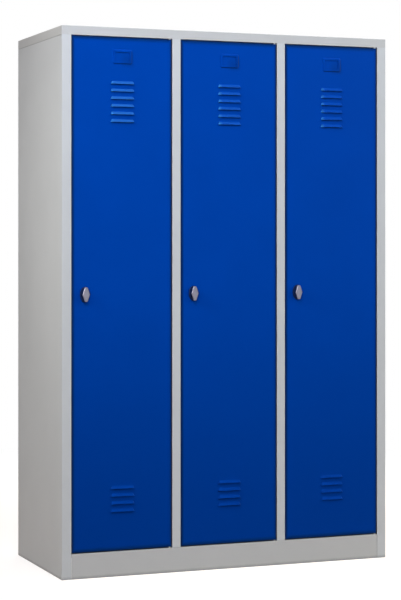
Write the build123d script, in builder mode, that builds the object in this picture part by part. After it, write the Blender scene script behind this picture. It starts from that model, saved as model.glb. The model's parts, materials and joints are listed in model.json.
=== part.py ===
from build123d import *
import os
from math import cos, radians, sin, tan

# Steel clothes locker with three hinged doors, one compartment behind each.
# Millimetres; origin on the floor under the middle of the footprint, +X to the
# right seen from the front, doors on the -Y side, +Z up.

os.makedirs("parts", exist_ok=True)

# ---------------------------------------------------------------- overall size
WIDTH = 1180.0
DEPTH = 500.0
HEIGHT = 1800.0
DOOR_COUNT = 3

# ----------------------------------------------------------------- sheet metal
SHEET = 1.0  # thickness of every folded sheet
BEND = 1.5  # outside radius of every fold
SEAT = 0.05  # clearance round a part that is seated for good
PLAY = 0.3  # clearance between parts that pass each other

# ----------------------------------------------------------------- front frame
STILE_FACE = 33.0
MULLION_FACE = 30.0
HEAD_FACE = 29.5
PLINTH_FACE = 82.5
PLINTH_FOOT = 15.0
PLINTH_SEAM = 0.5
STOP_LIP = 12.0  # door stop turned into each opening

# --------------------------------------------------------------------- carcass
REAR_FLANGE = 15.0
ROOF_LAP = 12.0  # how far the side sheets' tongues reach below the roof rim
ROOF_SEAM = 1.5
ROOF_SEAM_START = 6.0  # the seam stops this far behind the front corner
TONGUE_SETBACK = 4.0
FLOOR_RIM = 15.0
FLOOR_TONGUE = 12.0
FIXING_HOLE = 8.0
FIXING_DROP = 100.0

# ----------------------------------------------------------------------- doors
DOOR_GAP = 3.0
DOOR_THICKNESS = 20.0
DOOR_LIP = 12.0
STOP_SPACE = 2.0  # between a closed door and its stop

LOUVRE_LENGTH = 83.0
LOUVRE_HEIGHT = 12.0
LOUVRE_BLEND = 8.0
LOUVRE_SLOPE = 30.0
LOUVRE_PITCH = 25.0
UPPER_LOUVRES = 6
LOWER_LOUVRES = 4
UPPER_LOUVRE_DROP = 152.5  # door top to the lip of the highest louvre
LOWER_LOUVRE_RISE = 127.0  # door bottom to the lip of the lowest louvre

LABEL_WIDTH = 62.0
LABEL_HEIGHT = 42.0
LABEL_DROP = 63.5  # door top to the middle of the label frame
LABEL_RIM = 6.0
LABEL_RAISE = 2.5
LABEL_SLOPE = 55.0  # of the frame's flanks, from straight out
LABEL_CORNER = 4.0
LABEL_WINDOW_CORNER = 2.0

STIFFENER_WEB = 30.0
STIFFENER_DEPTH = 14.0
STIFFENER_FLANGE = 12.0
STIFFENER_INSET = 88.0
STIFFENER_END_GAP = 3.0

# ---------------------------------------------------------------- hinge pivots
PIVOT_INSET = 6.0  # axis from the door's edge and from its face
PIN_RADIUS = 3.0
PIN_PLAY = 0.05
PIN_REACH = 14.0
PIN_CHAMFER = 0.5
PIN_COLLAR_RADIUS = 5.0
PIN_COLLAR = 1.0
PIN_RIVET_RADIUS = 4.5
PIN_RIVET = 1.2
BUSH_WALL = 1.3
BUSH_LENGTH = 10.0
BUSH_SHOULDER_RADIUS = 5.5

# ----------------------------------------------------------------------- latch
LATCH_INSET = 42.5  # spindle from the door's free edge
LATCH_RISE = 840.0  # spindle above the door's bottom edge
ROSETTE_WIDTH = 34.0
ROSETTE_HEIGHT = 50.0
ROSETTE_THICKNESS = 4.0
ROSETTE_EDGE = 1.5
BARREL_RADIUS = 9.0
LOCK_NUT_RADIUS = 14.0
LOCK_NUT_THICKNESS = 4.0
SPINDLE_RADIUS = 4.0
SPINDLE_TIP = 5.5
HUB_RADIUS = 6.5
HANDLE_STANDOFF = 9.0  # rosette face to the back of the handle plate
HANDLE_THICKNESS = 4.0
HANDLE_LENGTH = 47.0
HANDLE_WIDTH = 25.0
HANDLE_TIP = 9.0
HANDLE_CORNER = 2.5
HANDLE_CHAMFER = 1.6
EYE_RADIUS = 3.0  # padlock holes
EYE_REACH = 11.5  # spindle to the padlock holes
EYE_RIM = 1.2
WEB_THICKNESS = 4.0
WEB_OFFSET = 0.5
EAR_THICKNESS = 3.0
EAR_PLAY = 0.7  # between the ear and the handle's hub
CAM_CLEARANCE = 2.0
CAM_THICKNESS = 3.0
CAM_WIDTH = 16.0
CAM_OVERLAP = 10.0
SCREW_RADIUS = 1.7
SCREW_DEPTH = 9.0
SCREW_HEAD_RADIUS = 4.5
SCREW_HEAD = 2.6
SCREW_EDGE = 0.65
SCREW_SLOT = 1.0

# --------------------------------------------------------------------- buffers
BUFFER_RADIUS = 4.0
BUFFER_STEM = 2.0
BUFFER_HEAD = 1.6
BUFFER_HEIGHTS = (250.0, 1500.0)  # above the sill

# ------------------------------------------------------------- hats and coats
SHELF_DROP = 300.0  # opening head to the top of the hat shelf
SHELF_SETBACK = 35.0  # behind the frame
SHELF_RIM = 18.0
SHELF_RETURN = 12.0
SHELF_UPSTAND = 15.0
RAIL_DROP = 70.0  # shelf top to the middle of the rail
RAIL_HEIGHT = 30.0
RAIL_WIDTH = 15.0
RAIL_WALL = 1.2
SOCKET_PLATE = 2.0
SOCKET_MARGIN = 7.0
SOCKET_CORNER = 3.5
SOCKET_WALL = 2.0
SOCKET_DEPTH = 10.0
HOOKS_PER_RAIL = 2
HOOK_WIDTH = 12.0
HOOK_RING = 3.0
HOOK_WIRE = 5.0
HOOK_DROP = 22.0
HOOK_BOWL = 9.0
HOOK_RISE = 9.0

# -------------------------------------------------------------- derived places
LEFT = -WIDTH / 2
FRONT = -DEPTH / 2
BACK = DEPTH / 2
SILL_Z = PLINTH_FACE
HEAD_Z = HEIGHT - HEAD_FACE
FLOOR_Z = SILL_Z - SHEET
CEILING_Z = HEIGHT - SHEET
STOP_Y = FRONT + DOOR_THICKNESS + STOP_SPACE
FRAME_BACK = STOP_Y + SHEET
BACK_SHEET_Y = BACK - 2 * SHEET
FOLD_RADIUS = BEND - SHEET / 2

OPENING_WIDTH = (WIDTH - 2 * STILE_FACE - (DOOR_COUNT - 1) * MULLION_FACE) / DOOR_COUNT
OPENING_PITCH = OPENING_WIDTH + MULLION_FACE
OPENING_CENTRES = [
    LEFT + STILE_FACE + OPENING_WIDTH / 2 + index * OPENING_PITCH for index in range(DOOR_COUNT)
]
MULLION_CENTRES = [centre + OPENING_PITCH / 2 for centre in OPENING_CENTRES[:-1]]

DOOR_HALF = OPENING_WIDTH / 2 - DOOR_GAP
DOOR_BOTTOM = SILL_Z + DOOR_GAP
DOOR_TOP = HEAD_Z - DOOR_GAP
DOOR_BACK = FRONT + DOOR_THICKNESS
DOOR_SIDES = (-DOOR_HALF, DOOR_HALF)

PIVOT_X = DOOR_HALF - PIVOT_INSET
PIVOT_Y = FRONT + PIVOT_INSET
BUSH_BORE = PIN_RADIUS + PIN_PLAY
BUSH_RADIUS = BUSH_BORE + BUSH_WALL

LATCH_X = -DOOR_HALF + LATCH_INSET
LATCH_Z = DOOR_BOTTOM + LATCH_RISE
ROSETTE_FACE = FRONT - ROSETTE_THICKNESS
HANDLE_BACK = ROSETTE_FACE - HANDLE_STANDOFF
EYE_Y = (ROSETTE_FACE + HANDLE_BACK) / 2
EYE_END = EYE_REACH + EYE_RADIUS + EYE_RIM
CAM_FRONT = FRAME_BACK + CAM_CLEARANCE
CAM_BACK = CAM_FRONT + CAM_THICKNESS
CAM_REACH = LATCH_INSET + DOOR_GAP - STOP_LIP + CAM_OVERLAP

SHELF_Z = HEAD_Z - SHELF_DROP
RAIL_Z = SHELF_Z - RAIL_DROP
RAIL_Y = (FRAME_BACK + BACK_SHEET_Y) / 2

WALLS = (
    [(LEFT, LEFT + SHEET)]
    + [(centre - SHEET / 2, centre + SHEET / 2) for centre in MULLION_CENTRES]
    + [(-LEFT - SHEET, -LEFT)]
)
BAYS = [(left[1], right[0]) for left, right in zip(WALLS, WALLS[1:])]


# --------------------------------------------------------------------- helpers
def finish(piece, name):
    """Label a finished piece and write it as its own STEP file."""
    piece.part.label = name
    export_step(piece.part, f"parts/{name}.step")


def front_plane(y):
    """Plane at depth y, seen from the front: X to the right, Z up, normal towards the viewer."""
    return Plane.XZ.offset(-y)


def block(x, y, z, mode=Mode.ADD):
    """Box between two limits along each axis."""
    with Locations((sum(x) / 2, sum(y) / 2, sum(z) / 2)):
        Box(x[1] - x[0], y[1] - y[0], z[1] - z[0], mode=mode)


def rounded_box(x, y, z, outward, radius):
    """Box rounded all round the face that looks outward, and along the sides that meet it."""
    with BuildPart() as box:
        block(x, y, z)
        fillet(box.faces().sort_by(outward)[-1].edges() + box.edges().filter_by(outward), radius)
    return box.part


def folded(*points):
    """Section of a folded sheet whose middle line runs through the points."""
    with BuildSketch() as section:
        with BuildLine():
            FilletPolyline(*points, radius=FOLD_RADIUS)
        trace(line_width=SHEET)
    return section.sketch


def disc(x, y, z, radius, length, mode=Mode.ADD):
    """Upright round bar or hole whose lower end is at height z."""
    with Locations((x, y, z)):
        Cylinder(radius, length, align=(Align.CENTER, Align.CENTER, Align.MIN), mode=mode)


def buffer_holes(x):
    """Holes for the door buffers' stems in the stop at x."""
    with BuildPart(mode=Mode.PRIVATE) as stems:
        for height in BUFFER_HEIGHTS:
            with BuildSketch(front_plane(FRAME_BACK)):
                with Locations((x, SILL_Z + height)):
                    Circle(BUFFER_STEM)
            extrude(amount=SHEET)
    add(stems.part, mode=Mode.SUBTRACT)


# ----------------------------------------------------------------- side panels
MID = SHEET / 2
STILE_EDGE = LEFT + STILE_FACE
with BuildPart() as side_blank:
    with BuildSketch():
        add(
            folded(
                (STILE_EDGE + STOP_LIP, FRAME_BACK - MID),
                (STILE_EDGE - MID, FRAME_BACK - MID),
                (STILE_EDGE - MID, FRONT + MID),
                (LEFT + MID, FRONT + MID),
                (LEFT + MID, BACK - MID),
                (LEFT + REAR_FLANGE, BACK - MID),
            )
        )
    extrude(amount=HEAD_Z)
    # the door stop starts above the sill
    block((STILE_EDGE, STILE_EDGE + STOP_LIP), (STOP_Y - BEND, FRAME_BACK), (0, SILL_Z), Mode.SUBTRACT)
    # shadow seam below the roof rim
    block(
        (LEFT, LEFT + REAR_FLANGE),
        (FRONT + ROOF_SEAM_START, BACK),
        (HEAD_Z - ROOF_SEAM, HEAD_Z),
        Mode.SUBTRACT,
    )
    # tongue that the roof tray drops over
    block(
        (LEFT + SHEET, LEFT + 2 * SHEET),
        (FRAME_BACK + TONGUE_SETBACK, BACK_SHEET_Y - PLAY),
        (HEAD_Z - ROOF_LAP, CEILING_Z - BEND),
    )

with BuildPart() as left_side_panel:
    add(side_blank.part)
    buffer_holes(STILE_EDGE + STOP_LIP / 2)
finish(left_side_panel, "left_side_panel")

with BuildPart() as right_side_panel:
    add(mirror(side_blank.part, about=Plane.YZ, mode=Mode.PRIVATE))
finish(right_side_panel, "right_side_panel")

# -------------------------------------------------- mullions and partitions
for number, centre in enumerate(MULLION_CENTRES, start=1):
    web_x = MULLION_FACE / 2 - MID
    stop_x = MULLION_FACE / 2 + STOP_LIP
    with BuildPart() as mullion:
        with BuildSketch(Plane.XY.offset(SILL_Z)):
            with Locations((centre, 0)):
                add(
                    folded(
                        (-stop_x, FRAME_BACK - MID),
                        (-web_x, FRAME_BACK - MID),
                        (-web_x, FRONT + MID),
                        (web_x, FRONT + MID),
                        (web_x, FRAME_BACK - MID),
                        (stop_x, FRAME_BACK - MID),
                    )
                )
        extrude(amount=HEAD_Z - SILL_Z)
        buffer_holes(centre + MULLION_FACE / 2 + STOP_LIP / 2)
    finish(mullion, f"mullion_{number}")

    with BuildPart() as partition:
        with BuildSketch(Plane.XY.offset(FLOOR_Z)):
            with Locations((centre, 0)):
                add(
                    folded(
                        (-stop_x, FRAME_BACK + MID),
                        (0, FRAME_BACK + MID),
                        (0, BACK_SHEET_Y - MID),
                        (REAR_FLANGE, BACK_SHEET_Y - MID),
                    )
                )
        extrude(amount=CEILING_Z - FLOOR_Z)
    finish(partition, f"partition_{number}")

# ----------------------------------------------------------------- roof panel
with BuildPart() as roof_hollow:
    block(
        (LEFT + SHEET, -LEFT - SHEET),
        (FRONT + SHEET, BACK - SHEET),
        (HEAD_Z + SHEET, CEILING_Z),
    )
    ceiling_edges = roof_hollow.faces().sort_by(Axis.Z)[-1].edges()
    fillet(ceiling_edges + roof_hollow.edges().filter_by(Axis.Z), BEND - SHEET)

with BuildPart() as roof_panel:
    block((LEFT, -LEFT), (FRONT, BACK), (HEAD_Z, HEIGHT))
    top_edges = roof_panel.faces().sort_by(Axis.Z)[-1].edges()
    rim_edges = roof_panel.edges().filter_by(Axis.Z)
    fillet(top_edges + rim_edges, BEND)
    add(roof_hollow.part, mode=Mode.SUBTRACT)
    # the tray is open below, behind the head of the door openings
    block(
        (LEFT + SHEET, -LEFT - SHEET),
        (FRAME_BACK, BACK - SHEET),
        (HEAD_Z, HEAD_Z + SHEET),
        Mode.SUBTRACT,
    )
    for centre in OPENING_CENTRES:
        disc(centre + PIVOT_X, PIVOT_Y, HEAD_Z, PIN_RADIUS + SEAT, SHEET, Mode.SUBTRACT)
finish(roof_panel, "roof_panel")

# ----------------------------------------------------------------- back panel
with BuildPart() as back_panel:
    block((LEFT + 2 * SHEET, -LEFT - 2 * SHEET), (BACK_SHEET_Y, BACK - SHEET), (0, CEILING_Z - BEND))
    with BuildSketch(front_plane(BACK - SHEET)):
        with Locations(*[(x, HEAD_Z - FIXING_DROP) for x in (OPENING_CENTRES[0], OPENING_CENTRES[-1])]):
            Circle(FIXING_HOLE / 2)
    extrude(amount=SHEET, mode=Mode.SUBTRACT)
finish(back_panel, "back_panel")

# ---------------------------------------------------------- floor and plinth
with BuildPart() as floor_panel:
    add(
        rounded_box(
            (LEFT + SHEET, -LEFT - SHEET),
            (FRAME_BACK + MID, BACK_SHEET_Y),
            (FLOOR_Z - FLOOR_RIM, FLOOR_Z),
            Axis.Z,
            BEND,
        )
    )
    add(
        rounded_box(
            (LEFT + 2 * SHEET, -LEFT - 2 * SHEET),
            (FRAME_BACK + MID + SHEET, BACK_SHEET_Y - SHEET),
            (FLOOR_Z - FLOOR_RIM, FLOOR_Z - SHEET),
            Axis.Z,
            BEND - SHEET,
        ),
        mode=Mode.SUBTRACT,
    )
    # tongue below the sill flange
    block(
        (STILE_EDGE + PLINTH_SEAM, -STILE_EDGE - PLINTH_SEAM),
        (FRAME_BACK - FLOOR_TONGUE, FRAME_BACK + MID + BEND),
        (FLOOR_Z - SHEET, FLOOR_Z),
    )
finish(floor_panel, "floor_panel")

with BuildPart() as plinth_front:
    with BuildSketch(Plane.YZ.offset(STILE_EDGE + PLINTH_SEAM)):
        add(
            folded(
                (FRONT + PLINTH_FOOT, MID),
                (FRONT + MID, MID),
                (FRONT + MID, SILL_Z - MID),
                (FRAME_BACK, SILL_Z - MID),
            )
        )
    extrude(amount=-2 * (STILE_EDGE + PLINTH_SEAM))
    for centre in OPENING_CENTRES:
        disc(centre + PIVOT_X, PIVOT_Y, SILL_Z - SHEET, PIN_RADIUS + SEAT, SHEET, Mode.SUBTRACT)
finish(plinth_front, "plinth_front")

# ----------------------------------------------------------------- hinge pins
# upright pin of the sill, measured from the sill; the head pin is its mirror image
with BuildPart() as sill_pin:
    disc(0, 0, -SHEET - PIN_RIVET, PIN_RIVET_RADIUS, PIN_RIVET)
    disc(0, 0, -SHEET, PIN_RADIUS, SHEET)
    disc(0, 0, 0, PIN_COLLAR_RADIUS, PIN_COLLAR)
    disc(0, 0, PIN_COLLAR, PIN_RADIUS, PIN_REACH)
    chamfer(sill_pin.faces().sort_by(Axis.Z)[-1].edges(), PIN_CHAMFER)

with BuildPart() as hinge_pins:
    head_pin = mirror(sill_pin.part, about=Plane.XY, mode=Mode.PRIVATE)
    for centre in OPENING_CENTRES:
        with Locations((centre + PIVOT_X, PIVOT_Y, SILL_Z)):
            add(sill_pin.part)
        with Locations((centre + PIVOT_X, PIVOT_Y, HEAD_Z)):
            add(head_pin)
finish(hinge_pins, "hinge_pins")

# --------------------------------------------------------------- door buffers
with BuildPart() as buffer_blank:
    with BuildSketch(front_plane(STOP_Y)):
        Circle(BUFFER_RADIUS)
    extrude(amount=STOP_SPACE - PLAY)
    with BuildSketch(front_plane(FRAME_BACK)):
        Circle(BUFFER_STEM)
    extrude(amount=SHEET)
    with BuildSketch(front_plane(FRAME_BACK + BUFFER_HEAD)):
        Circle(BUFFER_RADIUS)
    extrude(amount=BUFFER_HEAD)

with BuildPart() as door_buffers:
    for centre in OPENING_CENTRES:
        for height in BUFFER_HEIGHTS:
            with Locations((centre - OPENING_WIDTH / 2 + STOP_LIP / 2, 0, SILL_Z + height)):
                add(buffer_blank.part)
finish(door_buffers, "door_buffers")

# --------------------------------------------------------------- door louvres
# hood profile: distance from the door's face against height above the hood's lip
SLOPE_RUN = LOUVRE_BLEND * (1 - cos(radians(LOUVRE_SLOPE)))
SLOPE_TOP = LOUVRE_HEIGHT - LOUVRE_BLEND * sin(radians(LOUVRE_SLOPE))
SLOPE = tan(radians(LOUVRE_SLOPE))
LOUVRE_DEPTH = SLOPE_RUN + SLOPE_TOP * SLOPE
HOLLOW_DEPTH = LOUVRE_DEPTH - SHEET / cos(radians(LOUVRE_SLOPE))
LOUVRE_STRAIGHT = LOUVRE_LENGTH - 2 * LOUVRE_DEPTH

with BuildSketch() as hood_profile:
    with BuildLine():
        TangentArc((0, LOUVRE_HEIGHT), (SLOPE_RUN, SLOPE_TOP), tangent=(0, -1))
        Line((SLOPE_RUN, SLOPE_TOP), (LOUVRE_DEPTH, 0))
        Polyline((LOUVRE_DEPTH, 0), (0, 0), (0, LOUVRE_HEIGHT))
    make_face()

with BuildSketch() as hollow_profile:
    with BuildLine():
        Polyline(
            (0, HOLLOW_DEPTH / SLOPE),
            (HOLLOW_DEPTH + SHEET * SLOPE, -SHEET),
            (0, -SHEET),
            close=True,
        )
    make_face()


def domed_bar(profile):
    """Profile run along the louvre and turned a quarter circle at both ends."""
    with BuildPart() as right_dome:
        with BuildSketch(Plane.XZ):
            add(profile)
        revolve(axis=Axis.Z, revolution_arc=-90)
    with BuildPart() as bar:
        with BuildSketch(Plane(origin=(0, 0, 0), x_dir=(0, -1, 0), z_dir=(-1, 0, 0))):
            add(profile)
        extrude(amount=LOUVRE_STRAIGHT / 2, both=True)
        left_dome = mirror(right_dome.part, about=Plane.YZ, mode=Mode.PRIVATE)
        with Locations((LOUVRE_STRAIGHT / 2, 0, 0)):
            add(right_dome.part)
        with Locations((-LOUVRE_STRAIGHT / 2, 0, 0)):
            add(left_dome)
    return bar.part


LOUVRE_HOOD = domed_bar(hood_profile.sketch)
with BuildPart() as louvre_hollow:
    add(domed_bar(hollow_profile.sketch))
    block((-LOUVRE_STRAIGHT / 2, LOUVRE_STRAIGHT / 2), (0, SHEET), (0, HOLLOW_DEPTH / SLOPE))
LOUVRE_LIPS = [DOOR_TOP - UPPER_LOUVRE_DROP - row * LOUVRE_PITCH for row in range(UPPER_LOUVRES)]
LOUVRE_LIPS += [DOOR_BOTTOM + LOWER_LOUVRE_RISE + row * LOUVRE_PITCH for row in range(LOWER_LOUVRES)]

# ------------------------------------------------------- door, about its middle
OUTWARD = Axis((0, 0, 0), (0, -1, 0))
LABEL_Z = DOOR_TOP - LABEL_DROP


def frame_ring(y, outer_growth, window_growth):
    """Raised ring of the label frame: sloped flanks outside, an upright edge round the window."""
    run = LABEL_RAISE * tan(radians(LABEL_SLOPE)) + outer_growth
    window = window_growth - LABEL_RIM
    with BuildPart() as ring:
        with BuildSketch(front_plane(y)):
            with Locations((0, LABEL_Z)):
                RectangleRounded(LABEL_WIDTH + 2 * run, LABEL_HEIGHT + 2 * run, LABEL_CORNER + run)
        extrude(amount=LABEL_RAISE, taper=LABEL_SLOPE)
        with BuildSketch(front_plane(y)):
            with Locations((0, LABEL_Z)):
                RectangleRounded(LABEL_WIDTH + 2 * window, LABEL_HEIGHT + 2 * window, LABEL_WINDOW_CORNER)
        extrude(amount=LABEL_RAISE, mode=Mode.SUBTRACT)
    return ring.part


with BuildPart() as door_blank:
    add(rounded_box(DOOR_SIDES, (FRONT, DOOR_BACK), (DOOR_BOTTOM, DOOR_TOP), OUTWARD, BEND))
    add(
        rounded_box(
            (-DOOR_HALF + SHEET, DOOR_HALF - SHEET),
            (FRONT + SHEET, DOOR_BACK - SHEET),
            (DOOR_BOTTOM + SHEET, DOOR_TOP - SHEET),
            OUTWARD,
            BEND - SHEET,
        ),
        mode=Mode.SUBTRACT,
    )
    block(
        (-DOOR_HALF + DOOR_LIP, DOOR_HALF - DOOR_LIP),
        (DOOR_BACK - SHEET, DOOR_BACK),
        (DOOR_BOTTOM + DOOR_LIP, DOOR_TOP - DOOR_LIP),
        Mode.SUBTRACT,
    )
    with Locations(*[(0, FRONT, lip) for lip in LOUVRE_LIPS]):
        add(LOUVRE_HOOD)
        add(louvre_hollow.part, mode=Mode.SUBTRACT)
    # label frame, pressed outwards
    flank_shift = SHEET * (1 - sin(radians(LABEL_SLOPE))) / cos(radians(LABEL_SLOPE))
    add(frame_ring(FRONT, 0, 0))
    add(frame_ring(FRONT + SHEET, -flank_shift, SHEET), mode=Mode.SUBTRACT)
    with BuildSketch(front_plane(FRONT + SHEET)):
        with Locations((LATCH_X, LATCH_Z)):
            Circle(BARREL_RADIUS + SEAT)
    extrude(amount=SHEET, mode=Mode.SUBTRACT)
    for end_z in (DOOR_BOTTOM, DOOR_TOP - SHEET):
        disc(PIVOT_X, PIVOT_Y, end_z, BUSH_RADIUS + SEAT, SHEET, Mode.SUBTRACT)

with BuildPart() as stiffener_blank:
    stiffener_half = STIFFENER_WEB / 2 - MID
    flange_y = FRONT + SHEET + MID
    with BuildSketch(Plane.XY.offset(DOOR_BOTTOM + SHEET + STIFFENER_END_GAP)):
        with Locations((DOOR_HALF - STIFFENER_INSET, 0)):
            add(
                folded(
                    (-stiffener_half - STIFFENER_FLANGE, flange_y),
                    (-stiffener_half, flange_y),
                    (-stiffener_half, flange_y + STIFFENER_DEPTH - SHEET),
                    (stiffener_half, flange_y + STIFFENER_DEPTH - SHEET),
                    (stiffener_half, flange_y),
                    (stiffener_half + STIFFENER_FLANGE, flange_y),
                )
            )
    extrude(amount=DOOR_TOP - DOOR_BOTTOM - 2 * (SHEET + STIFFENER_END_GAP))

# the lower bush; the upper one mirrors it about the middle of the opening
with BuildPart() as bush_blank:
    shoulder_z = SILL_Z + PIN_COLLAR + PLAY
    disc(PIVOT_X, PIVOT_Y, shoulder_z, BUSH_SHOULDER_RADIUS, DOOR_BOTTOM - shoulder_z)
    disc(PIVOT_X, PIVOT_Y, DOOR_BOTTOM, BUSH_RADIUS, BUSH_LENGTH)
    disc(PIVOT_X, PIVOT_Y, shoulder_z, BUSH_BORE, BUSH_LENGTH + DOOR_BOTTOM - shoulder_z, Mode.SUBTRACT)
    mirror(about=Plane.XY.offset((SILL_Z + HEAD_Z) / 2))

# ------------------------------------------------- latch, about the door's middle
def rod(radius, y_front, y_rear, mode=Mode.ADD):
    """Round bar or hole on the spindle's axis."""
    with BuildPart(mode=Mode.PRIVATE) as bar:
        with BuildSketch(front_plane(y_rear)):
            with Locations((LATCH_X, LATCH_Z)):
                Circle(radius)
        extrude(amount=y_rear - y_front)
    add(bar.part, mode=mode)


with BuildPart() as rosette_blank:
    with BuildSketch(front_plane(FRONT)):
        with Locations((LATCH_X, LATCH_Z)):
            Ellipse(ROSETTE_WIDTH / 2, ROSETTE_HEIGHT / 2)
    extrude(amount=ROSETTE_THICKNESS)
    fillet(rosette_blank.faces().sort_by(Axis.Y)[0].edges(), ROSETTE_EDGE)
    rod(BARREL_RADIUS, FRONT, CAM_FRONT - PLAY)
    rod(SPINDLE_RADIUS + PIN_PLAY, ROSETTE_FACE, CAM_FRONT - PLAY, Mode.SUBTRACT)
    # ear with the fixed padlock hole
    block(
        (LATCH_X + HUB_RADIUS + EAR_PLAY, LATCH_X + EYE_END),
        (HANDLE_BACK + PLAY, FRONT - SHEET),
        (LATCH_Z, LATCH_Z + EAR_THICKNESS),
    )
    disc(LATCH_X + EYE_REACH, EYE_Y, LATCH_Z, EYE_RADIUS, EAR_THICKNESS, Mode.SUBTRACT)

with BuildPart() as nut_blank:
    with BuildSketch(front_plane(FRONT + SHEET + LOCK_NUT_THICKNESS)):
        with Locations((LATCH_X, LATCH_Z)):
            RegularPolygon(LOCK_NUT_RADIUS, 6)
            Circle(BARREL_RADIUS + SEAT, mode=Mode.SUBTRACT)
    extrude(amount=LOCK_NUT_THICKNESS)

with BuildPart() as handle_blank:
    with BuildSketch(front_plane(HANDLE_BACK)) as plate_outline:
        with Locations((LATCH_X, LATCH_Z)):
            Polygon(
                (-HANDLE_TIP / 2, HANDLE_LENGTH / 2),
                (HANDLE_TIP / 2, HANDLE_LENGTH / 2),
                (HANDLE_WIDTH / 2, 0),
                (HANDLE_TIP / 2, -HANDLE_LENGTH / 2),
                (-HANDLE_TIP / 2, -HANDLE_LENGTH / 2),
                (-HANDLE_WIDTH / 2, 0),
            )
        fillet(plate_outline.vertices(), HANDLE_CORNER)
    extrude(amount=HANDLE_THICKNESS)
    chamfer(handle_blank.faces().sort_by(Axis.Y)[0].edges(), HANDLE_CHAMFER)
    rod(HUB_RADIUS, HANDLE_BACK, ROSETTE_FACE - PLAY)
    rod(SPINDLE_RADIUS, ROSETTE_FACE - PLAY, CAM_FRONT)
    with BuildSketch(front_plane(CAM_BACK - PLAY)):
        with Locations((LATCH_X, LATCH_Z)):
            Rectangle(SPINDLE_TIP, SPINDLE_TIP)
    extrude(amount=CAM_THICKNESS - PLAY)
    # web with the moving padlock hole, below the ear once the handle is turned
    web_x = LATCH_X - WEB_OFFSET - WEB_THICKNESS
    block(
        (web_x, web_x + WEB_THICKNESS),
        (HANDLE_BACK, ROSETTE_FACE - PLAY),
        (LATCH_Z - EYE_END, LATCH_Z),
    )
    with BuildSketch(Plane.YZ.offset(web_x)):
        with Locations((EYE_Y, LATCH_Z - EYE_REACH)):
            Circle(EYE_RADIUS)
    extrude(amount=WEB_THICKNESS, mode=Mode.SUBTRACT)
    rod(SCREW_RADIUS + SEAT, CAM_BACK - SCREW_DEPTH - PLAY, CAM_BACK, Mode.SUBTRACT)

with BuildPart() as cam_blank:
    with BuildSketch(front_plane(CAM_BACK)):
        with Locations((LATCH_X, LATCH_Z + (CAM_REACH - CAM_WIDTH / 2) / 2)):
            SlotOverall(CAM_REACH + CAM_WIDTH / 2, CAM_WIDTH, rotation=90)
        with Locations((LATCH_X, LATCH_Z)):
            Rectangle(SPINDLE_TIP + 2 * SEAT, SPINDLE_TIP + 2 * SEAT, mode=Mode.SUBTRACT)
    extrude(amount=CAM_THICKNESS)

with BuildPart() as screw_blank:
    rod(SCREW_HEAD_RADIUS, CAM_BACK, CAM_BACK + SCREW_HEAD)
    fillet(screw_blank.faces().sort_by(Axis.Y)[-1].edges(), SCREW_EDGE)
    rod(SCREW_RADIUS, CAM_BACK - SCREW_DEPTH, CAM_BACK)
    block(
        (LATCH_X - SCREW_HEAD_RADIUS, LATCH_X + SCREW_HEAD_RADIUS),
        (CAM_BACK + SCREW_HEAD / 2, CAM_BACK + SCREW_HEAD),
        (LATCH_Z - SCREW_SLOT / 2, LATCH_Z + SCREW_SLOT / 2),
        Mode.SUBTRACT,
    )

# ------------------------------------------------------ the doors in their places
DOOR_PIECES = {
    "door_panel": door_blank,
    "door_stiffener": stiffener_blank,
    "hinge_bushes": bush_blank,
    "handle_rosette": rosette_blank,
    "lock_nut": nut_blank,
    "turn_handle": handle_blank,
    "latch_cam": cam_blank,
    "cam_screw": screw_blank,
}
for number, centre in enumerate(OPENING_CENTRES, start=1):
    for name, blank in DOOR_PIECES.items():
        with BuildPart() as door_piece:
            with Locations((centre, 0, 0)):
                add(blank.part)
        finish(door_piece, f"{name}_{number}")

# ------------------------------------------------------------------ hat shelves
for number, bay in enumerate(BAYS, start=1):
    shelf_front = FRAME_BACK + SHELF_SETBACK
    shelf_back = BACK_SHEET_Y - BEND
    with BuildPart() as hat_shelf:
        with BuildSketch(Plane.YZ.offset(bay[0])):
            add(
                folded(
                    (shelf_front + SHELF_RETURN, SHELF_Z - SHELF_RIM + MID),
                    (shelf_front + MID, SHELF_Z - SHELF_RIM + MID),
                    (shelf_front + MID, SHELF_Z - MID),
                    (shelf_back - MID, SHELF_Z - MID),
                    (shelf_back - MID, SHELF_Z + SHELF_UPSTAND),
                )
            )
        extrude(amount=bay[1] - bay[0])
        # side flanges against the walls of the compartment
        for flange_x in (bay[0], bay[1] - SHEET):
            block(
                (flange_x, flange_x + SHEET),
                (shelf_front + SHELF_RETURN + BEND, shelf_back - BEND),
                (SHELF_Z - SHELF_RIM, SHELF_Z - MID),
            )
    finish(hat_shelf, f"hat_shelf_{number}")


# ------------------------------------------------------------------- coat rails
def oval(growth):
    """Rail section grown by a wall or a clearance, standing on its narrow side."""
    with BuildSketch() as section:
        SlotOverall(RAIL_HEIGHT + 2 * growth, RAIL_WIDTH + 2 * growth, rotation=90)
    return section.sketch


with BuildPart() as socket_blank:
    with BuildSketch(Plane.YZ):
        RectangleRounded(RAIL_WIDTH + 2 * SOCKET_MARGIN, RAIL_HEIGHT + 2 * SOCKET_MARGIN, SOCKET_CORNER)
    extrude(amount=SOCKET_PLATE)
    with BuildSketch(Plane.YZ.offset(SOCKET_PLATE)):
        add(oval(SEAT + SOCKET_WALL))
        add(oval(SEAT), mode=Mode.SUBTRACT)
    extrude(amount=SOCKET_DEPTH)

with BuildPart() as rail_sockets:
    right_socket = mirror(socket_blank.part, about=Plane.YZ, mode=Mode.PRIVATE)
    for bay in BAYS:
        with Locations((bay[0], RAIL_Y, RAIL_Z)):
            add(socket_blank.part)
        with Locations((bay[1], RAIL_Y, RAIL_Z)):
            add(right_socket)
finish(rail_sockets, "rail_sockets")

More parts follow.
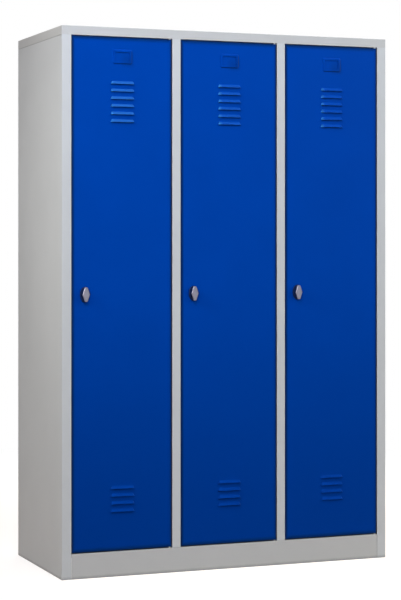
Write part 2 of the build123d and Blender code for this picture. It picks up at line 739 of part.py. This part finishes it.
with BuildPart() as hook_blank:
    with BuildSketch(Plane.YZ) as hook_outline:
        ring_bottom = RAIL_HEIGHT / 2 + PLAY + HOOK_RING
        bowl_z = -ring_bottom - HOOK_DROP
        with BuildLine():
            Line((0, -ring_bottom + HOOK_RING / 2), (0, bowl_z))
            TangentArc((0, bowl_z), (-2 * HOOK_BOWL, bowl_z), tangent=(0, -1))
            Line((-2 * HOOK_BOWL, bowl_z), (-2 * HOOK_BOWL, bowl_z + HOOK_RISE))
        trace(line_width=HOOK_WIRE)
        with Locations((-2 * HOOK_BOWL, bowl_z + HOOK_RISE)):
            Circle(HOOK_WIRE / 2)
        add(oval(PLAY + HOOK_RING))
        add(oval(PLAY), mode=Mode.SUBTRACT)
    extrude(amount=HOOK_WIDTH / 2, both=True)

for number, bay in enumerate(BAYS, start=1):
    with BuildPart() as coat_rail:
        with BuildSketch(Plane.YZ.offset(bay[0] + SOCKET_PLATE)):
            with Locations((RAIL_Y, RAIL_Z)):
                add(oval(0))
                add(oval(-RAIL_WALL), mode=Mode.SUBTRACT)
        extrude(amount=bay[1] - bay[0] - 2 * SOCKET_PLATE)
    finish(coat_rail, f"coat_rail_{number}")

    free_start = bay[0] + SOCKET_PLATE + SOCKET_DEPTH
    free_length = bay[1] - bay[0] - 2 * (SOCKET_PLATE + SOCKET_DEPTH)
    for place in range(HOOKS_PER_RAIL):
        with BuildPart() as coat_hook:
            with Locations((free_start + free_length * (place + 0.5) / HOOKS_PER_RAIL, RAIL_Y, RAIL_Z)):
                add(hook_blank.part)
        finish(coat_hook, f"coat_hook_{number}_{place + 1}")
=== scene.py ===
import json
import math

import bpy
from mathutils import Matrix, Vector


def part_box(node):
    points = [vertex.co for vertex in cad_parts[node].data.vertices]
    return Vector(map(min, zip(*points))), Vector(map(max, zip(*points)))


# Steel clothes locker: light grey powder-coated carcass, gentian blue doors, nickel turn handles.
# Every node keeps its CAD shape; this script adds the finishes, the studio and the camera.

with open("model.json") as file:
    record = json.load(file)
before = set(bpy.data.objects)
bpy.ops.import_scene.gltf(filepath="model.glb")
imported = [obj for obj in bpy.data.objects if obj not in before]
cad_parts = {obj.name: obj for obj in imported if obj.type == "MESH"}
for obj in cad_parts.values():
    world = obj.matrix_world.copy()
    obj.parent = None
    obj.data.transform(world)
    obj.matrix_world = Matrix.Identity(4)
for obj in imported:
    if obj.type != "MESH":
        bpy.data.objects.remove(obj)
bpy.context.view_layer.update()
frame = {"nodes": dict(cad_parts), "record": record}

scene = bpy.context.scene
scene.view_settings.view_transform = "Standard"

# ------------------------------------------------------- colours, in linear light
WHITE = (1.0, 1.0, 1.0)
LIGHT_GREY = (0.60, 0.62, 0.615)
SHADED_GREY = (0.55, 0.555, 0.535)  # the grey darkened as painted shade on the roof and plinth
# painted shade in the grey's creases and gaps
GREY_CREASE_SHADE = (0.05, 0.055, 0.06)
GENTIAN_BLUE = (0.0, 0.058, 0.405)
FOOT_SHADE_BLUE = (0.0, 0.044, 0.30)  # painted shade: the blue near the floor, darker where less light falls
LIT_BLUE = (0.03, 0.19, 0.54)  # the blue on louvre slopes that catch the light
PAINTED_SHADE_BLUE = (0.003, 0.024, 0.095)  # painted shade: the blue at a door's rim and in its label frame's shade
# painted shade in the blue's creases and gaps
BLUE_CREASE_SHADE = (0.0, 0.042, 0.30)
BLUE_GLOSS = (0.0, 0.05, 0.15)  # tint of what the blue coat mirrors
PALE_GLOSS = (0.03, 0.62, 0.55)  # the same on louvre slopes that catch the light
NICKEL = (0.22, 0.215, 0.27)
ZINC = (0.50, 0.51, 0.53)
BLACK_PLASTIC = (0.022, 0.023, 0.027)
SMOKED_BLUE = (0.004, 0.014, 0.062)
NYLON = (0.70, 0.68, 0.63)
RUBBER = (0.028, 0.028, 0.030)
FLOOR_TINT = (0.46, 0.41, 0.36)
AMBIENT = (0.09, 0.055, 0.045)
KEY_TINT = (0.66, 0.73, 1.0)
SKY_TINT = (0.80, 0.88, 1.0)
FILL_TINT = (0.95, 0.99, 0.98)
WARM_TINT = (1.0, 0.99, 0.95)

# --------------------------------------------------------------- noise and relief
NOISE_LOW = 0.3  # most of a noise's factor lies between this
NOISE_HIGH = 0.7  # and this
TONE_DETAIL = 3.0
GLOSS_DETAIL = 4.0
GLOSS_SCALE = 2.3  # how much finer the roughness wanders than the tone
RELIEF_DETAIL = 2.0
CREASE_SAMPLES = 8

EVEN = (1.0, 1.0, 1.0)  # stretch of a noise along x, y and z
ALONG_X = (0.04, 1.0, 1.0)

# rows of cycles per metre, depth in metres and stretch
PEEL = [(380.0, 0.000022, EVEN), (1700.0, 0.000006, EVEN)]
GRAIN = [(1500.0, 0.00003, EVEN)]
CAST = [(260.0, 0.00002, EVEN), (2400.0, 0.000006, EVEN)]
DRAWN = [(900.0, 0.00001, ALONG_X)]

# ---------------------------------------------------- places on a door, in metres
LOUVRE_LENGTH = 0.083
END_GLINT = 0.010  # length of a louvre's left end, which has its own share of light
GLINT_FADE = 0.005  # from that end to where the rest of the louvre has its share
DIMMING_START = 0.3  # door top to where louvres start to get less light
FOOT_START = 0.7  # door top to where the blue's painted shade starts
LABEL_HEAD = 0.040  # door top to the top of the label frame
LABEL_FOOT = 0.10  # door top to just below the label frame
LABEL_MARGIN = 0.01  # from there to where the louvres' light is full
LABEL_SIDE = 0.032  # middle of the label frame to its right flank
LABEL_BLUR = 0.012  # softness of the shade in the label frame's hollow
LABEL_FADE = 0.036  # depth over which that shade builds up from LABEL_HEAD
RIM_REACH = 0.016  # width of the painted shade at a door's top and foot
SIDE_NARROWING = 1.5  # how many times narrower the rim is along the sides

# -------------------------------------------- shares of light and shade on a door
# of each door: the painted light on its louvres, and on their left ends
DOOR_LIGHT = {"1": (0.75, 0.9), "2": (0.35, 1.0), "3": (0.15, 0.85)}
LOW_LOUVRES = 0.0  # part of that light which is left at the door's foot
LABEL_SHADE = 0.6
HOLLOW_SHADE = 0.28
RIM_SHADE = 0.95
FLAT_MIRROR = 0.15  # Specular IOR Level of the blue coat's flat faces
LIT_MIRROR = 1.0  # and of louvre slopes in full light
FLAT_NORMAL = 0.98  # how squarely a flat face looks out of the door
PRESSED_NORMAL = 0.75  # and the slope of a louvre
SHADE_START = 0.1  # how far to the right and down a face looks where its shade starts
SHADE_FULL = 0.6  # and where it is full


# ------------------------------------------------------------------- node helpers
def new_tree(name):
    """New material with nothing but an output node: the material, its tree and that node."""
    material = bpy.data.materials.new(name)
    material.use_nodes = True
    tree = material.node_tree
    tree.nodes.clear()
    return material, tree, tree.nodes.new("ShaderNodeOutputMaterial")


def noise(tree, scale, detail, stretch=EVEN):
    """Factor of a noise over the object's own coordinates, its scale in cycles per metre."""
    coordinates = tree.nodes.new("ShaderNodeTexCoord")
    mapping = tree.nodes.new("ShaderNodeMapping")
    mapping.inputs["Scale"].default_value = stretch
    texture = tree.nodes.new("ShaderNodeTexNoise")
    texture.inputs["Scale"].default_value = scale
    texture.inputs["Detail"].default_value = detail
    tree.links.new(coordinates.outputs["Object"], mapping.inputs["Vector"])
    tree.links.new(mapping.outputs["Vector"], texture.inputs["Vector"])
    return texture.outputs["Fac"]


def ramp(tree, value, start, end, first, last, kind="SMOOTHSTEP"):
    """Change from one number to another while a value runs from start to end."""
    span = tree.nodes.new("ShaderNodeMapRange")
    span.interpolation_type = kind
    for socket, number in (("From Min", start), ("From Max", end), ("To Min", first), ("To Max", last)):
        span.inputs[socket].default_value = number
    tree.links.new(value, span.inputs["Value"])
    return span.outputs["Result"]


def spread(tree, factor, low, high):
    """Noise factor spread over a range of values."""
    return ramp(tree, factor, NOISE_LOW, NOISE_HIGH, low, high, "LINEAR")


def calculate(tree, operation, *operands):
    """Result of a math node whose operands are numbers or outputs."""
    math_node = tree.nodes.new("ShaderNodeMath")
    math_node.operation = operation
    for socket, operand in zip(math_node.inputs, operands):
        if isinstance(operand, float):
            socket.default_value = operand
        else:
            tree.links.new(operand, socket)
    return math_node.outputs[0]


def product(tree, result, *factors):
    """Product of several outputs."""
    for factor in factors:
        result = calculate(tree, "MULTIPLY", result, factor)
    return result


def split(tree, vector):
    """X, Y and Z of a vector."""
    parts = tree.nodes.new("ShaderNodeSeparateXYZ")
    tree.links.new(vector, parts.inputs[0])
    return parts.outputs


def blend_into(tree, socket, factor, colour):
    """Blend a colour socket, or what feeds it, towards a colour by a factor."""
    mix = tree.nodes.new("ShaderNodeMix")
    mix.data_type = "RGBA"
    tree.links.new(factor, mix.inputs["Factor"])
    if socket.links:
        tree.links.new(socket.links[0].from_socket, mix.inputs["A"])
    else:
        mix.inputs["A"].default_value = socket.default_value
    mix.inputs["B"].default_value = (*colour, 1.0)
    tree.links.new(mix.outputs["Result"], socket)


def bumps(tree, relief):
    """Normal of several bumps, one for each row of a relief."""
    normal = None
    for scale, depth, stretch in relief:
        bump = tree.nodes.new("ShaderNodeBump")
        bump.inputs["Distance"].default_value = depth
        tree.links.new(noise(tree, scale, RELIEF_DETAIL, stretch), bump.inputs["Height"])
        if normal is not None:
            tree.links.new(normal, bump.inputs["Normal"])
        normal = bump.outputs["Normal"]
    return normal


# ----------------------------------------------------------------------- finishes
def shade(colour, factor):
    """Colour made darker or lighter by a factor."""
    return tuple(channel * factor for channel in colour)


def finish_of(name, colour, tint, tone_scale, roughness, relief, tone_stretch=EVEN, **sockets):
    """Surface whose colour wanders to a tint, with a wandering roughness and a fine relief."""
    material, tree, output = new_tree(name)
    shader = tree.nodes.new("ShaderNodeBsdfPrincipled")
    shader.inputs["Base Color"].default_value = (*colour, 1.0)
    for socket, value in sockets.items():
        shader.inputs[socket.replace("_", " ")].default_value = value
    tone = noise(tree, tone_scale, TONE_DETAIL, tone_stretch)
    blend_into(tree, shader.inputs["Base Color"], spread(tree, tone, 0.0, 1.0), tint)
    gloss = noise(tree, GLOSS_SCALE * tone_scale, GLOSS_DETAIL, tone_stretch)
    tree.links.new(spread(tree, gloss, *roughness), shader.inputs["Roughness"])
    tree.links.new(bumps(tree, relief), shader.inputs["Normal"])
    tree.links.new(shader.outputs["BSDF"], output.inputs["Surface"])
    return material


def grey_coat(name, colour):
    """Satin powder coat of the carcass."""
    return finish_of(
        name, colour, tint=shade(colour, 0.965), tone_scale=5.0, roughness=(0.40, 0.47), relief=PEEL,
        Specular_IOR_Level=0.4,
    )


def blue_coat(name):
    """Glossier powder coat of the doors."""
    return finish_of(
        name, GENTIAN_BLUE, tint=shade(GENTIAN_BLUE, 0.94), tone_scale=5.0, roughness=(0.30, 0.36),
        relief=PEEL, Specular_IOR_Level=FLAT_MIRROR, Specular_Tint=(*BLUE_GLOSS, 1.0),
    )


def paint_crease_shade(material, crease, reach, depth):
    """Paint shade into a finish: blend its colour towards a darker one where other surfaces come within
    reach, in metres.
    """
    tree = material.node_tree
    crevice = tree.nodes.new("ShaderNodeAmbientOcclusion")
    crevice.samples = CREASE_SAMPLES
    crevice.inputs["Distance"].default_value = reach
    closeness = calculate(tree, "SUBTRACT", 1.0, calculate(tree, "POWER", crevice.outputs["AO"], depth))
    blend_into(tree, tree.nodes["Principled BSDF"].inputs["Base Color"], closeness, crease)


def paint_door_light_and_shade(material, node, bars, ends):
    """Painted light on a door's louvres and their left ends, and painted shade on its foot, label frame
    and rim.
    """
    tree = material.node_tree
    shader = tree.nodes["Principled BSDF"]
    colour = shader.inputs["Base Color"]
    low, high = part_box(node)
    width = high[0] - low[0]
    height = high[2] - low[2]
    middle = 0.5 * width

    coordinates = tree.nodes.new("ShaderNodeTexCoord")
    spot = split(tree, coordinates.outputs["Generated"])
    facing = split(tree, coordinates.outputs["Normal"])
    across = calculate(tree, "MULTIPLY", spot["X"], width)
    below_top = calculate(tree, "MULTIPLY_ADD", spot["Z"], -height, height)
    from_side = calculate(tree, "PINGPONG", across, middle)
    from_end = calculate(tree, "PINGPONG", below_top, 0.5 * height)

    # painted shade: the blue darkens towards the door's foot
    foot_shade = ramp(tree, below_top, FOOT_START, height, 0.0, 1.0)
    blend_into(tree, colour, foot_shade, FOOT_SHADE_BLUE)

    louvre_end = middle - 0.5 * LOUVRE_LENGTH
    glint_end = louvre_end + END_GLINT
    lit = product(
        tree,
        ramp(tree, across, glint_end, glint_end + GLINT_FADE, ends, bars),
        ramp(tree, below_top, DIMMING_START, height, 1.0, LOW_LOUVRES),
        ramp(tree, below_top, LABEL_FOOT, LABEL_FOOT + LABEL_MARGIN, 0.0, 1.0),
        # only slopes, and none of the folds at the door's sides
        ramp(tree, calculate(tree, "ABSOLUTE", facing["Y"]), FLAT_NORMAL, PRESSED_NORMAL, 0.0, 1.0),
        ramp(tree, from_side, 0.5 * louvre_end, louvre_end, 0.0, 1.0),
    )
    blend_into(tree, colour, lit, LIT_BLUE)
    blend_into(tree, shader.inputs["Specular Tint"], lit, PALE_GLOSS)
    mirror = ramp(tree, lit, 0.0, 1.0, FLAT_MIRROR, LIT_MIRROR)
    tree.links.new(mirror, shader.inputs["Specular IOR Level"])

    turned_away = calculate(tree, "SUBTRACT", facing["X"], facing["Z"])
    flank_shade = product(
        tree,
        ramp(tree, turned_away, SHADE_START, SHADE_FULL, 0.0, LABEL_SHADE),
        ramp(tree, below_top, LABEL_FOOT, LABEL_FOOT + LABEL_MARGIN, 1.0, 0.0),
    )
    blend_into(tree, colour, flank_shade, PAINTED_SHADE_BLUE)
    label_side = middle + LABEL_SIDE
    hollow_shade = product(
        tree,
        ramp(tree, across, middle - LABEL_BLUR, middle + LABEL_BLUR, 0.0, HOLLOW_SHADE),
        ramp(tree, across, label_side, label_side + LABEL_BLUR, 1.0, 0.0),
        ramp(tree, below_top, LABEL_FOOT - LABEL_BLUR, LABEL_FOOT, 1.0, 0.0),
        ramp(tree, below_top, LABEL_HEAD, LABEL_HEAD + LABEL_FADE, 0.0, 1.0),
    )
    blend_into(tree, colour, hollow_shade, PAINTED_SHADE_BLUE)

    # painted shade along the door's rim, narrower at its sides
    side_rim = calculate(tree, "MULTIPLY", from_side, SIDE_NARROWING)
    nearest = calculate(tree, "MINIMUM", side_rim, from_end)
    rim_shade = ramp(tree, nearest, 0.0, RIM_REACH, RIM_SHADE, 0.0)
    blend_into(tree, colour, rim_shade, PAINTED_SHADE_BLUE)


MATERIALS = {
    "grey_coat": grey_coat("grey powder coat", LIGHT_GREY),
    "shaded_grey_coat": grey_coat("grey powder coat with painted shade", SHADED_GREY),
    "blue_coat": blue_coat("blue powder coat"),
    "nickel": finish_of(
        "satin nickel", NICKEL, tint=shade(NICKEL, 0.86), tone_scale=60.0, roughness=(0.36, 0.46),
        relief=CAST, Metallic=1.0,
    ),
    "zinc": finish_of(
        "bright zinc", ZINC, tint=(0.50, 0.48, 0.40), tone_scale=45.0, roughness=(0.26, 0.40),
        relief=CAST, Metallic=1.0,
    ),
    "rail_steel": finish_of(
        "drawn zinc-plated tube", ZINC, tint=shade(ZINC, 0.88), tone_scale=120.0,
        roughness=(0.24, 0.36), relief=DRAWN, tone_stretch=ALONG_X, Metallic=1.0,
    ),
    "black_plastic": finish_of(
        "grained black plastic", BLACK_PLASTIC, tint=shade(BLACK_PLASTIC, 1.6), tone_scale=30.0,
        roughness=(0.50, 0.62), relief=GRAIN, Specular_IOR_Level=0.25,
    ),
    "smoked_plastic": finish_of(
        "blue-black plastic", SMOKED_BLUE, tint=shade(SMOKED_BLUE, 1.5), tone_scale=30.0,
        roughness=(0.50, 0.62), relief=GRAIN, Specular_IOR_Level=0.12,
    ),
    "nylon": finish_of(
        "natural nylon", NYLON, tint=shade(NYLON, 0.93), tone_scale=40.0, roughness=(0.42, 0.52),
        relief=GRAIN, Subsurface_Weight=0.1,
    ),
    "rubber": finish_of(
        "black rubber", RUBBER, tint=shade(RUBBER, 1.9), tone_scale=90.0, roughness=(0.68, 0.82),
        relief=GRAIN,
    ),
}
# each door gets its own copy of the blue coat, with painted light and shade
for number, (bars, ends) in DOOR_LIGHT.items():
    coat = blue_coat(f"blue powder coat of door {number}")
    paint_door_light_and_shade(coat, f"door_panel_{number}", bars, ends)
    MATERIALS[f"lit_door_coat_{number}"] = coat

# painted shade in creases and gaps: colour, reach in metres and depth
BLUE_CREASES = (BLUE_CREASE_SHADE, 0.016, 1.1)
GREY_CREASES = (GREY_CREASE_SHADE, 0.012, 1.0)
DEEP_CREASES = (GREY_CREASE_SHADE, 0.012, 2.0)
CREASES = {
    "blue_coat": BLUE_CREASES,
    **{f"lit_door_coat_{number}": BLUE_CREASES for number in DOOR_LIGHT},
    "grey_coat": GREY_CREASES,
    "shaded_grey_coat": GREY_CREASES,
    "zinc": DEEP_CREASES,
    "nylon": DEEP_CREASES,
}
for finish, (crease, reach, depth) in CREASES.items():
    paint_crease_shade(MATERIALS[finish], crease, reach, depth)

# nodes whose finish is not that of their material slot
# the roof and plinth take the darker grey as painted shade
OWN_FINISH = {"roof_panel": "shaded_grey_coat", "plinth_front": "shaded_grey_coat"}
for number in DOOR_LIGHT:
    OWN_FINISH[f"handle_rosette_{number}"] = "smoked_plastic"
    OWN_FINISH[f"door_panel_{number}"] = f"lit_door_coat_{number}"

SLOTS = {entry["node"]: entry["material_slot"] for entry in frame["record"]["subparts"]}
for name, node in frame["nodes"].items():
    node.data.materials.clear()
    node.data.materials.append(MATERIALS[OWN_FINISH.get(name, SLOTS[name])])

# ---------------------------------------------------------------- floor and world
FLOOR_RADIUS = 9.0
FLOOR_VERTICES = 96
FLOOR_GLOW = 0.76  # what the floor adds to its own light where it is seen near the locker
FADE_START = 1.3  # metres from the middle to where the floor starts to fade into the backdrop
FADE_END = 3.2  # and to where it is all backdrop


def seen_directly(tree):
    """1 for rays from the camera, a mirror or glass, and 0 for those that light other things."""
    path = tree.nodes.new("ShaderNodeLightPath").outputs
    mirrored = calculate(tree, "MAXIMUM", path["Is Camera Ray"], path["Is Glossy Ray"])
    return calculate(tree, "MAXIMUM", mirrored, path["Is Transmission Ray"])


def white_glow(tree, strength):
    """White light with a strength that is an output."""
    emission = tree.nodes.new("ShaderNodeEmission")
    emission.inputs["Color"].default_value = (*WHITE, 1.0)
    tree.links.new(strength, emission.inputs["Strength"])
    return emission.outputs[0]


def floor_finish():
    """Pale floor that shows the locker's shadow near it and turns into a white backdrop."""
    material, tree, output = new_tree("pale floor")
    seen = seen_directly(tree)
    diffuse = tree.nodes.new("ShaderNodeBsdfDiffuse")
    diffuse.inputs["Color"].default_value = (*FLOOR_TINT, 1.0)
    near = tree.nodes.new("ShaderNodeAddShader")
    tree.links.new(diffuse.outputs[0], near.inputs[0])
    tree.links.new(white_glow(tree, calculate(tree, "MULTIPLY", seen, FLOOR_GLOW)), near.inputs[1])
    coordinates = tree.nodes.new("ShaderNodeTexCoord")
    distance = tree.nodes.new("ShaderNodeVectorMath")
    distance.operation = "LENGTH"
    tree.links.new(coordinates.outputs["Object"], distance.inputs[0])
    fade = ramp(tree, distance.outputs["Value"], FADE_START, FADE_END, 0.0, 1.0)
    ground = tree.nodes.new("ShaderNodeMixShader")
    tree.links.new(fade, ground.inputs[0])
    tree.links.new(near.outputs[0], ground.inputs[1])
    tree.links.new(white_glow(tree, seen), ground.inputs[2])
    tree.links.new(ground.outputs[0], output.inputs["Surface"])
    return material


world = bpy.data.worlds.new("studio")
scene.world = world
world.use_nodes = True
sky = world.node_tree.nodes["Background"].inputs["Color"]
sky.default_value = (*AMBIENT, 1.0)
blend_into(world.node_tree, sky, seen_directly(world.node_tree), WHITE)

bpy.ops.mesh.primitive_circle_add(vertices=FLOOR_VERTICES, radius=FLOOR_RADIUS, fill_type="NGON")
floor = bpy.context.object
floor.name = "studio_floor"
floor.data.materials.append(floor_finish())


# --------------------------------------------------------------- lamps and camera
def softbox(name, place, target, size, power, tint=WHITE, cone=180.0):
    """Rectangular studio lamp at a place, turned to a target; its cone is in degrees."""
    data = bpy.data.lights.new(name, "AREA")
    data.shape = "RECTANGLE"
    data.size, data.size_y = size
    data.energy = power
    data.color = tint
    data.spread = math.radians(cone)
    lamp = bpy.data.objects.new(name, data)
    lamp.location = place
    lamp.rotation_euler = (Vector(target) - Vector(place)).to_track_quat("-Z", "Y").to_euler()
    scene.collection.objects.link(lamp)


softbox("high_key", (-1.3, -2.4, 3.4), (0.0, -0.25, 1.1), size=(1.0, 0.8), power=47.0, tint=KEY_TINT)
softbox("overhead", (0.0, -1.45, 3.3), (0.0, -0.25, 1.4), size=(1.0, 0.7), power=9.0, tint=SKY_TINT)
softbox(
    "left_key", (-2.7, -0.85, 2.4), (-0.59, -0.5, 1.2), size=(0.8, 1.4), power=6.3, tint=WARM_TINT,
    cone=60.0,
)
softbox("front_fill", (-0.5, -4.4, 2.9), (0.0, -0.25, 1.3), size=(2.5, 1.6), power=52.0, tint=FILL_TINT)
softbox("right_fill", (4.2, -3.3, 2.7), (0.0, -0.25, 1.3), size=(2.5, 1.6), power=100.0, tint=FILL_TINT)
softbox("rear_fill", (1.6, 3.4, 1.4), (0.0, 0.25, 0.9), size=(2.0, 1.4), power=95.0)
softbox("side_fill", (3.8, 1.2, 1.4), (0.59, 0.0, 0.9), size=(2.0, 1.4), power=42.0)

LENS = 107.1  # mm
SENSOR_WIDTH = 36.0  # mm
SHIFT = (0.0675, -0.1015)  # brings the locker to its place in the photo's frame
CAMERA_PLACE = (-2.359, -5.766, 1.106)
CAMERA_TURN = (90.0, 0.0, -20.93)  # degrees: level, and turned to the right

camera_data = bpy.data.cameras.new("camera")
camera_data.lens = LENS
camera_data.sensor_width = SENSOR_WIDTH
camera_data.shift_x, camera_data.shift_y = SHIFT
camera = bpy.data.objects.new("camera", camera_data)
camera.location = CAMERA_PLACE
camera.rotation_euler = [math.radians(angle) for angle in CAMERA_TURN]
scene.collection.objects.link(camera)
scene.camera = camera
